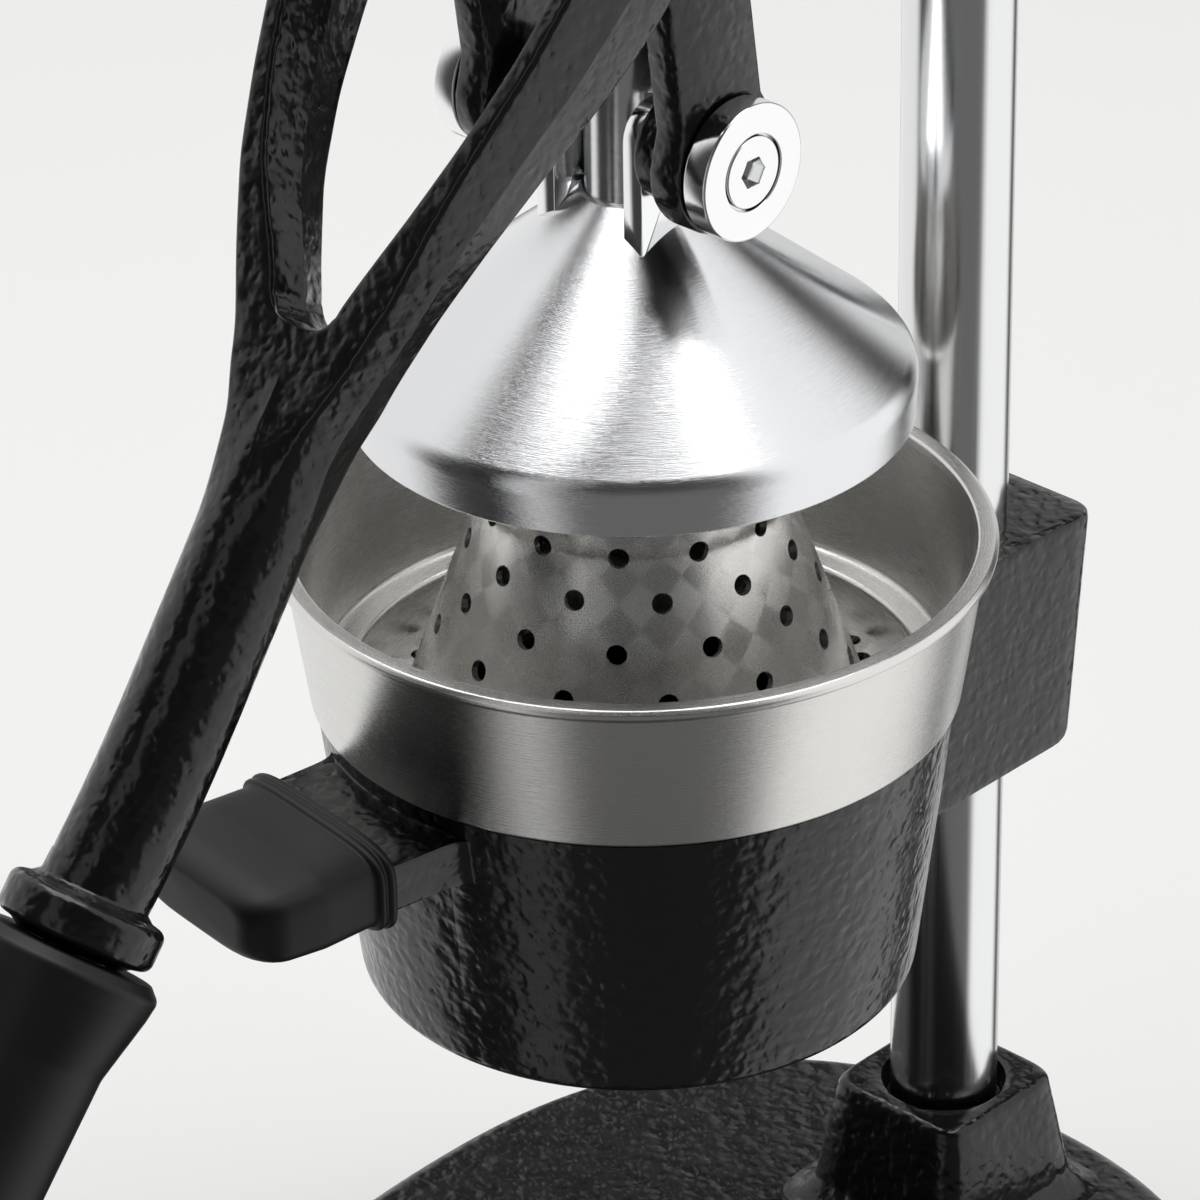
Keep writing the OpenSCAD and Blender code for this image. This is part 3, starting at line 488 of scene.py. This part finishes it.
for surface in (dome, lining):
    start = [np.interp(stops[-1], run, surface[:, 0]), np.interp(stops[-1], run, surface[:, 1])]
    cap_rows = np.concatenate([[start], surface[top]])
    cap_rows[-1, 0] = 0
    skins.append(turned(cap_rows * mm, on_axis, columns=144))
skins.append(turned(np.array([dome[0], lining[0]]) * mm, on_axis, columns=144))
build("reamer_dome", wall + skins, stainless, "strainer", ["reamer"])


# ---- Head ------------------------------------------------------------------------
# The top casting: a hub clamped on the column, a web, and the rod's guide with a boss on
# each side where the lever turns.
pivot_z, pin_z, pin_y = 394.074, 289.7, -3.5
guide_top = pivot_z + 22


def plate_x(outline, low, high, bevel):
    """A plate between two distances from the middle plane: an outline of (y, z) in millimetres
    that its middle point sees whole, with rounded-off edges."""
    middle = outline.mean(0)
    edge = np.roll(outline, -1, 0) - np.roll(outline, 1, 0)
    normal = np.c_[edge[:, 1], -edge[:, 0]] / np.linalg.norm(edge, axis=1)[:, None]
    normal *= np.sign(((outline - middle) * normal).sum())
    inset = bevel * np.array([1, 0.3, 0, 0, 0.3, 1])[:, None, None]
    x = np.array([low, low + 0.3 * bevel, low + bevel, high - bevel, high - 0.3 * bevel, high])
    flat = outline - inset * normal
    flat = np.concatenate([np.tile(middle, (1, len(outline), 1)), flat,
                           np.tile(middle, (1, len(outline), 1))])
    x = np.r_[low, x, high][:, None] + 0 * flat[..., 0]
    return skin(np.stack([x, flat[..., 0], flat[..., 1]], -1) * mm + (0, axis_y, 0))


def mirrored(parts):
    """The same skins on the other side of the middle plane."""
    return [(points * (-1, 1, 1), quads, uv) for points, quads, uv in parts]


hub = rounded([(10.8, pivot_z - 24, 0.6), (19, pivot_z - 24, 2.5), (19, guide_top, 2.5),
               (10.8, guide_top, 0.6)], closed=True) * mm
guide = rounded([(10.05, pivot_z - 16, 0.5), (14.5, pivot_z - 16, 1.5), (14.5, guide_top, 1.5),
                 (10.05, guide_top, 0.5)], closed=True) * mm
web = rounded([(12, pivot_z - 15, 0.1), (72, pivot_z - 15, 0.1), (72, pivot_z + 11, 0.1),
               (12, pivot_z + 11, 0.1)], closed=True)
cheek = rounded([(9.5, pivot_z - 10, 0.1), (26, pivot_z - 10, 5), (26, pivot_z + 10, 5),
                 (9.5, pivot_z + 10, 0.1)], closed=True)
boss = rounded([(0, 11.8, 0), (12, 11.8, 0), (12, 26.5, 1), (6.3, 26.5, 0.2), (6.3, 26, 0),
                (0, 26, 0)]) * mm
bosses = [turned(boss, spot(0, pin_y, pivot_z), (1, 0, 0), columns=96)]
build("head_casting", [turned(hub, (0, column_y, 0), loop=True), turned(guide, on_axis, loop=True),
                       plate_x(web, -8, 8, 2.5), plate_x(cheek, -14.4, 14.4, 2)]
      + bosses + mirrored(bosses), enamel, "stand", ["head"])


# ---- Lever -----------------------------------------------------------------------
# One long casting, mirrored about the middle: two drafted fork arms with a parting ridge down
# their sides, which meet in a rounded crotch and run into a round shaft with a cast ring.
bend = np.polyfit([186.1, 150, 111, 84, 62, 43, 26.5, 6, -19],
                  [-3.5, -24, -48, -66, -79, -89, -100, -115, -135.3], 4)
crotch, crotch_r, shaft_r, ring_up = 67.5, 6, 9.75, -19
station = np.r_[np.arange(186, 74, -1.5),
                crotch + crotch_r * (1 - np.sin(np.linspace(0, pi / 2, 16))),
                np.arange(crotch - 1.5, 30, -1.5), np.arange(28, ring_up, -4), ring_up]
kernel = np.array([1, 2, 3, 2, 1]) / 9
even = np.arange(-25, 195, 1.5)


def fitted(heights, values):
    """A size that changes down the lever: smoothed on even steps, then read at the stations."""
    table = np.pad(np.interp(even, heights, values), 2, "reflect", reflect_type="odd")
    return np.interp(station, even, np.convolve(table, kernel, "valid"))


sway = fitted([20, 40, 52, 64, 76, 88, 100, 112, 124, 136, 150, 186],
              [0, 1.2, 1.6, 0.8, -0.8, -1.2, 0.1, 2.2, 3.8, 4.6, 4, 0])
line_y, lean = np.polyval(bend, station) + sway, np.polyval(np.polyder(bend), station)
tangent = np.c_[lean, 1 + 0 * lean] / np.hypot(lean, 1)[:, None]
deep = fitted([36, 52, 64, 76, 88, 100, 112, 124, 150, 186],
              [9.75, 8.2, 6.9, 6.8, 8.4, 9.7, 10.9, 12.1, 12.9, 14])
u_turn = np.sqrt(np.clip(crotch_r ** 2 - (crotch + crotch_r - station) ** 2, 0, None))
x_in = fitted([70.5, 76, 82, 88, 100, 112, 124, 136, 190],
              [5.2, 7.9, 11.4, 15, 20.5, 24.5, 27.2, 28.6, 28.6])
x_out = fitted([36, 52, 64, 76, 88, 100, 112, 124, 136, 190],
               [9.75, 10.6, 15.0, 20.0, 24, 27.8, 31.6, 34.2, 35.4, 35.4])
x_in = np.where(station > 71, x_in, u_turn)
open_in = np.clip(x_in / 3, 0, 1)
draft = 1.6
inner, outer = x_in + draft * open_in, x_out - draft
zero = 0 * x_in
corners = np.stack([np.stack([inner, -deep], -1), np.stack([outer, -deep], -1),
                    np.stack([x_out, zero], -1), np.stack([outer, deep], -1),
                    np.stack([inner, deep], -1), np.stack([x_in, zero], -1)], 1)
plain = np.array([(1.6, -10), (5.4, -10), (7, 0), (5.4, 10), (1.6, 10), (0, 0)])
smooth = rounded([(x, n, fillet) for (x, n), fillet in zip(plain, [1.1, 1.1, 0.6, 1.1, 1.1, 0.6])],
                 closed=True, steps=4).reshape(6, 5, 2) - plain[:, None]
fade = np.stack([open_in, 1 + zero, 1 + zero, 1 + zero, open_in, open_in], 1)
arcs = corners[:, :, None] + smooth * fade[:, :, None, None]
share = np.array([0.25, 0.5, 0.75])[:, None]
chain = []
for corner in range(6):
    chain.append(arcs[:, corner])
    chain.append(arcs[:, corner, -1:] * (1 - share) + arcs[:, (corner + 1) % 6, :1] * share)
# The outer chain runs from the front round the outside to the back, the rest is the inner wall
outside = np.concatenate(chain[:9], 1)
inside = np.concatenate(chain[9:], 1)
swing = np.linspace(-pi / 2, pi / 2, outside.shape[1])
disc = shaft_r * np.c_[np.cos(swing), np.sin(swing)]
roundness = np.clip((60 - station) / 24, 0, 1)
roundness = (roundness ** 2 * (3 - 2 * roundness))[:, None, None]
outside = outside * (1 - roundness) + disc * roundness
outside[:, [0, -1], 0] = np.where(x_in[:, None] > 0, outside[:, [0, -1], 0], 0)
inside[..., 0] = np.where(x_in[:, None] > 0, inside[..., 0], 0)
section = np.concatenate([outside, inside], 1)
middle = np.concatenate([[section[0].mean(0)], [[0, 0]]])
section = np.concatenate([np.tile(middle[0], (1, section.shape[1], 1)), section,
                          np.tile(middle[1], (1, section.shape[1], 1))])
line_y, station = np.r_[line_y[0], line_y, line_y[-1]], np.r_[station[0], station, station[-1]]
tangent = np.concatenate([tangent[:1], tangent, tangent[-1:]])
arm_points = np.stack([section[..., 0], line_y[:, None] + section[..., 1] * tangent[:, 1:],
                       rim_z + station[:, None] - section[..., 1] * tangent[:, :1]], -1)
arm_points = arm_points * mm + (0, axis_y, 0)
points, quads, uv = skin(arm_points)
split = (np.abs(points[quads][..., 0]) > 1e-9).any(1)
arm = [(points, quads[split], uv[split])]

grip_way = np.array([0, -20.3, -25]) / np.hypot(20.3, 25)
ring_place = spot(0, -135.3, rim_z + ring_up)
ring = rounded([(0, -9, 0), (9.6, -9, 0), (shaft_r, -5.2, 1), (11.2, -4.1, 1), (14.1, -3.4, 2.2),
                (14.1, 3.4, 2.2), (11.2, 4.1, 1), (shaft_r, 5, 0.3), (7.7, 5, 0), (7.7, 90, 0.5),
                (0, 90, 0)]) * mm
# Crank and link are equally long, and the crank leans back a little from the vertical
crank_reach, crank_lean, crank_half = 52.7, radians(8), 9.8
arm_face, crank_face, hub_face = 27, 33, 39
lever_hub = rounded([(8.1, arm_face, 0.4), (16, arm_face, 1.2), (16, hub_face, 1.2),
                     (8.1, hub_face, 0.4)], closed=True) * mm
joint_y, joint_z = pin_y - crank_reach * sin(crank_lean), pivot_z - crank_reach * cos(crank_lean)
half_ring = np.linspace(0, pi, 24)
down = np.array([joint_y - pin_y, joint_z - pivot_z]) / crank_reach
side = np.array([-down[1], down[0]])
round_end = crank_half * (np.cos(half_ring)[:, None] * side + np.sin(half_ring)[:, None] * down)
crank = np.concatenate([(joint_y, joint_z) + round_end, (pin_y, pivot_z) - round_end])
lever_side = arm + [turned(lever_hub, spot(0, pin_y, pivot_z), (1, 0, 0), loop=True),
                    plate_x(crank, arm_face, crank_face, 0.8)]
build("lever_casting", lever_side + mirrored(lever_side) + [turned(ring, ring_place, grip_way)],
      enamel, "lever", ["lever"], crease=38)


# ---- Lever grip --------------------------------------------------------------------
# Black rubber moulded over the lever's core: a flared collar under the cast ring, a slim
# waist, and a round end.
close = np.linspace(0, pi / 2, 16)
handle = np.concatenate([
    rounded([(0, 5.3, 0), (15.4, 5.3, 0.8), (17.5, 7.4, 1.8), (17.0, 11, 3), (14.4, 23, 8),
             (13.8, 60, 30), (14.4, 95, 10), (14.4, 101.6, 0)], steps=10),
    np.c_[14.4 * np.cos(close), 101.6 + 14.4 * np.sin(close)][1:]]) * mm
handle[-1, 0] = 0
build("grip_rubber", [turned(handle, ring_place, grip_way)],
      soft_rubber, "lever", ["lever_grip"])


# ---- Links ---------------------------------------------------------------------------
# A cast link on each side, enamelled like the lever: an eye at each end, a slightly slimmer
# waist, and a boss that reaches in to the cap's lug.
link_foot, link_head = np.array([pin_y, pin_z]), np.array([joint_y, joint_z])
link_mid, link_way = (link_foot + link_head) / 2, (link_head - link_foot) / crank_reach
link_side = np.array([-link_way[1], link_way[0]])
link_half, eye_r, half_reach = 9.8, 12.8, crank_reach / 2
turn = np.arange(180) * 2 * pi / 180
along, across = np.abs(np.sin(turn)), np.abs(np.cos(turn))
# Distance from the link's middle to its straight side and to the eye, and the larger, blended
to_side = link_half / np.maximum(across, 1e-6)
reach = half_reach * along
short = reach ** 2 - half_reach ** 2 + eye_r ** 2
to_eye = np.where(short > 0, reach + np.sqrt(np.maximum(short, 0)), 0)
mix = np.clip(0.5 + 0.5 * (to_eye - to_side) / 3, 0, 1)
far = np.where(to_side * along < 30, to_side + mix * (to_eye - to_side), to_eye)
link = link_mid + far[:, None] * (np.sin(turn)[:, None] * link_way
                                  + np.cos(turn)[:, None] * link_side)
boss = rounded([(6.6, 13, 0.3), (10, 13, 1.2), (10, 20, 0), (6.6, 20, 0)], closed=True) * mm
link_parts = [plate_x(link, 19.5, 26.5, 0.9),
              turned(boss, spot(0, pin_y, pin_z), (1, 0, 0), columns=96, loop=True)]
build("link_casting_right", link_parts, enamel, "links", ["link_right"])
build("link_casting_left", mirrored(link_parts), enamel, "links", ["link_left"])


# ---- Press cap -------------------------------------------------------------------------
# Turned from solid steel: a cone with a rounded shoulder and a short upright edge, hollow
# underneath, with two lugs beside the rod. The cone is brushed round its axis.
cap_steel = brushed("turned_steel", (0.76, 0.765, 0.78), rough=0.17, spread=0.86, lines=6400)
cap_edge, cap_top, cap_r, rod_foot = 233.8, 276, 50.4, 262
cap = rounded([(0, rod_foot, 0), (8.05, rod_foot, 0), (8.05, cap_top, 0.2), (9, cap_top - 0.3, 0.4),
               (cap_r, 242.6, 5), (cap_r, cap_edge, 0.5), (cap_r - 3, cap_edge, 0.3),
               (cap_r - 3, 239.2, 2), (14, 266.5, 1), (14, 259, 1), (0, 259, 0)], steps=10) * mm
lug = rounded([(-10.5, 268.6, 0.1), (-10.5, 296.7, 6.5), (3.5, 296.7, 6.5), (3.5, 268.6, 0.1)],
              closed=True)
lug_steel = brushed("milled_steel", (0.86, 0.865, 0.87), rough=0.1, spread=0.3, mark=0.01 * mm,
                    patch=0.03)
build("cap_cone", [turned(cap, on_axis, columns=256)], cap_steel, "plunger", ["press_cap"],
      crease=40)
lugs = [plate_x(lug, 8.1, 12.5, 0.35)]
build("cap_lugs", lugs + mirrored(lugs), lug_steel, "plunger")


# ---- Plunger rod -------------------------------------------------------------------------
# A ground steel rod pressed into the cap. It slides in the head's bronze bush, and a clamp
# collar above the guide stops it from dropping.
rod = rounded([(0, rod_foot, 0), (8, rod_foot, 0), (8, 430, 1), (0, 430, 0)]) * mm
rod_steel = brushed("ground_steel", (0.72, 0.725, 0.735), rough=0.2, spread=0.6, lines=2600)
build("plunger_bar", [turned(rod, on_axis)], rod_steel, "plunger", ["plunger_rod"])
collar = rounded([(8.05, 416.5, 0.3), (13.5, 416.5, 0.8), (13.5, 425.5, 0.8), (8.05, 425.5, 0.3)],
                 closed=True) * mm
build("stop_collar", [turned(collar, on_axis, loop=True)], rod_steel, "plunger", ["rod_collar"])


# ---- Thick washers and their screws ----------------------------------------------------------
# Bright turned washers, sunk for the flush head of a hexagon-socket screw that is the pin
# of the joint behind it.
bright = brushed("bright_steel", (0.88, 0.885, 0.885), rough=0.13, spread=0.25, mark=0.008 * mm,
                 patch=0.03)


def washer(x, y, z):
    """The washer whose inner face is at x."""
    shape = rounded([(4.2, 0, 0), (12.35, 0, 0.4), (12.35, 5, 0.55), (6.95, 5, 0.25),
                     (6.95, 2.6, 0), (4.2, 2.6, 0)], closed=True) * mm
    return turned(shape, spot(x, y, z), (1, 0, 0), loop=True)


def socket_head(tip, neck, x, y, z, pin):
    """The screw: a thread from tip, the plain pin from neck, and a head flush with x + 5."""
    body = rounded([(0, tip, 0), (4, tip, 0.4), (4, neck, 0), (pin, neck, 0), (pin, x, 0),
                    (4, x, 0), (4, x + 2.7, 0), (6.5, x + 2.7, 0), (6.5, x + 5, 0.45),
                    (3.1, x + 5, 0)])
    bore = np.array([[2.95, x + 4.9], [2.89, x + 4.6], [2.89, x + 2.2], [0, x + 1.6]])
    flags = np.r_[np.zeros(len(body)), np.ones(4)]
    return turned(np.concatenate([body, bore]) * mm, spot(0, y, z), (1, 0, 0), columns=144,
                  hexed=flags)


for name, body, x, z, tip, neck, pin in (("cap", "plunger", 27.0, pin_z, 8.4, 12.55, 5),
                                         ("pivot", "stand", 39.5, pivot_z, 11.6, 26.5, 6)):
    rings, heads = [washer(x, pin_y, z)], [socket_head(tip, neck, x, pin_y, z, pin)]
    build(name + "_thick_washers", rings + mirrored(rings), bright, body, [name + "_washers"])
    build(name + "_socket_screws", heads + mirrored(heads), bright, body, [name + "_screws"])


# ---- Fastenings and bushes -------------------------------------------------------------------
# The small hidden pieces keep their plain shapes: bright and blackened steel screws, bronze
# bushes, and the column's cap.
def fastening(name, colour, metallic, rough, scale=900):
    """A plain finish with soft patches of gloss and a fine grain."""
    material, shader = finish(name, colour, metallic=metallic, roughness=rough)
    where = add(material, "TexCoord")
    cloud = add(material, "TexNoise", Scale=scale, Detail=4.0)
    join(material, where.outputs["Object"], cloud.inputs["Vector"])
    dull = add(material, "MapRange", To_Min=rough - 0.08, To_Max=rough + 0.1)
    join(material, cloud.outputs["Fac"], dull.inputs["Value"])
    join(material, dull.outputs["Result"], shader.inputs["Roughness"])
    bump = add(material, "Bump", Strength=0.3, Distance=0.01 * mm)
    join(material, cloud.outputs["Fac"], bump.inputs["Height"])
    join(material, bump.outputs["Normal"], shader.inputs["Normal"])
    return material


plain_steel = fastening("zinc_steel", (0.74, 0.745, 0.75), 1.0, 0.28)
black_steel = fastening("black_steel", (0.045, 0.045, 0.05), 0.8, 0.42)
bronze = fastening("bush_bronze", (0.58, 0.39, 0.16), 1.0, 0.34)
for material, names in ((plain_steel, ["feet_screws", "column_bolt", "column_washer", "link_pins"]),
                        (black_steel, ["socket_screw", "cup_screws", "head_screws", "collar_screw",
                                       "pin_clips"]),
                        (bronze, ["guide_bush", "hub_bushes", "eye_bushes"]),
                        (enamel, ["column_cap"])):
    for name in names:
        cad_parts[name].data.materials.clear()
        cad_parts[name].data.materials.append(material)


# ---- Floor, light and camera ------------------------------------------------------
# A pale seamless floor under a wide soft studio light: bright panels to both sides with
# darker gaps between them, which the polished pieces show as streaks.
def studio_floor():
    """A near-white paper sweep."""
    material, shader = finish("paper_floor", (0.80, 0.80, 0.79), roughness=0.9,
                              Specular_IOR_Level=0.1)
    where = add(material, "TexCoord")
    cloud = add(material, "TexNoise", Scale=2.0, Detail=2.0)
    join(material, where.outputs["Object"], cloud.inputs["Vector"])
    shade = add(material, "ValToRGB")
    shade.color_ramp.elements[0].color = (0.79, 0.79, 0.78, 1)
    shade.color_ramp.elements[1].color = (0.82, 0.82, 0.81, 1)
    join(material, cloud.outputs["Fac"], shade.inputs["Fac"])
    join(material, shade.outputs["Color"], shader.inputs["Base Color"])
    return material


floor_mesh = bpy.data.meshes.new("studio_floor")
edge = 6.0
floor_mesh.from_pydata([(-edge, -edge, 0), (edge, -edge, 0), (edge, edge, 0), (-edge, edge, 0)],
                       [], [(0, 1, 2, 3)])
floor_mesh.materials.append(studio_floor())
studio_floor_piece = bpy.data.objects.new("studio_floor", floor_mesh)
bpy.context.scene.collection.objects.link(studio_floor_piece)
studio_floor_piece.visible_glossy = False

camera_turn, camera_rise, camera_roll = radians(43.7), radians(29.26), radians(-0.85)
camera_place = np.array([0.6965, -0.6921, 0.7622])
back = np.array([sin(camera_turn) * cos(camera_rise), -cos(camera_turn) * cos(camera_rise),
                 sin(camera_rise)])
level = np.array([cos(camera_turn), sin(camera_turn), 0])
right = level * cos(camera_roll) + np.cross(back, level) * sin(camera_roll)
camera_data = bpy.data.cameras.new("camera")
camera_data.sensor_width = 36
camera_data.lens = 194.5
camera_data.clip_end = 50
camera = bpy.data.objects.new("camera", camera_data)
turned_view = np.eye(4)
turned_view[:3, 0], turned_view[:3, 1], turned_view[:3, 2] = right, np.cross(back, right), back
turned_view[:3, 3] = camera_place
camera.matrix_world = Matrix(turned_view.tolist())
bpy.context.scene.collection.objects.link(camera)
bpy.context.scene.camera = camera

# The light is a world whose brightness depends on direction: angle round from the camera
# (degrees in the list below) and height. Each panel is a soft-edged window in those two.
world = bpy.data.worlds.new("studio")
bpy.context.scene.world = world
world.use_nodes = True
tree = world.node_tree
tree.nodes.clear()


def wire(kind, *sources, **settings):
    """A world node of that kind, fed in order by sockets or plain numbers."""
    new = tree.nodes.new("ShaderNode" + kind)
    for name, value in settings.items():
        setattr(new, name, value)
    for place, source in enumerate(sources):
        if isinstance(source, (int, float)):
            new.inputs[place].default_value = source
        else:
            tree.links.new(source, new.inputs[place])
    return new


direction = wire("TexCoord").outputs["Generated"]
parts = wire("SeparateXYZ", direction)
turn = wire("Math", parts.outputs["Y"], parts.outputs["X"], operation="ARCTAN2").outputs[0]
# Angle from the camera's side, from -pi to pi, and height as the sine of the elevation
from_camera = wire("Math", turn, pi / 2 - camera_turn, operation="ADD").outputs[0]
from_camera = wire("Math", from_camera, pi, -pi, operation="WRAP").outputs[0]
height = parts.outputs["Z"]


def window(source, low, high, soft):
    """1 between low and high, falling to 0 over soft on either side."""
    rise = wire("MapRange", source, low - soft, low + soft, 0.0, 1.0,
                interpolation_type="SMOOTHSTEP").outputs[0]
    fall = wire("MapRange", source, high - soft, high + soft, 1.0, 0.0,
                interpolation_type="SMOOTHSTEP").outputs[0]
    return wire("Math", rise, fall, operation="MULTIPLY").outputs[0]


def panel(low_turn, high_turn, low, high, soft, strength):
    """A bright window between two turns in degrees and two heights, soft degrees at its edges."""
    shape = wire("Math", window(from_camera, radians(low_turn), radians(high_turn), radians(soft)),
                 window(height, low, high, soft / 90), operation="MULTIPLY").outputs[0]
    return wire("Math", shape, strength, operation="MULTIPLY").outputs[0]


light = wire("Math", 0.05, 0.0, operation="ADD").outputs[0]
for sizes in [(-172, -90, -0.9, 0.97, 7, 0.9), (-54, -32, -0.9, 0.97, 6, 0.6),
              (50, 128, -0.9, 0.97, 8, 1.05), (146, 178, -0.9, 0.6, 6, 0.7),
              (-30, 46, -0.9, 0.3, 8, 0.1)]:
    light = wire("Math", light, panel(*sizes), operation="ADD").outputs[0]
camera_ray = wire("LightPath").outputs["Is Camera Ray"]
seen = wire("Mix", data_type="FLOAT")
tree.links.new(camera_ray, seen.inputs[0])
tree.links.new(light, seen.inputs[2])
seen.inputs[3].default_value = 0.905
lit = wire("Background")
tree.links.new(seen.outputs[0], lit.inputs["Strength"])
lit.inputs["Color"].default_value = (1.0, 1.0, 0.995, 1)
tree.links.new(lit.outputs[0], wire("OutputWorld").inputs["Surface"])


def softbox(name, turn, rise, distance, width, height, power):
    """An area light aimed at the press from an angle round from the camera and a height."""
    data = bpy.data.lights.new(name, "AREA")
    data.shape, data.size, data.size_y, data.energy = "RECTANGLE", width, height, power
    lamp = bpy.data.objects.new(name, data)
    turn = camera_turn + radians(turn)
    rise = radians(rise)
    away = np.array([sin(turn) * cos(rise), -cos(turn) * cos(rise), sin(rise)])
    side = np.array([cos(turn), sin(turn), 0])
    place = np.eye(4)
    place[:3, 0], place[:3, 1], place[:3, 2] = side, np.cross(away, side), away
    place[:3, 3] = away * distance + (0, 0, 0.2)
    lamp.matrix_world = Matrix(place.tolist())
    bpy.context.scene.collection.objects.link(lamp)
    return lamp


softbox("overhead", 180, 78, 1.6, 1.4, 1.4, 22)
bpy.context.scene.view_settings.view_transform = "Standard"
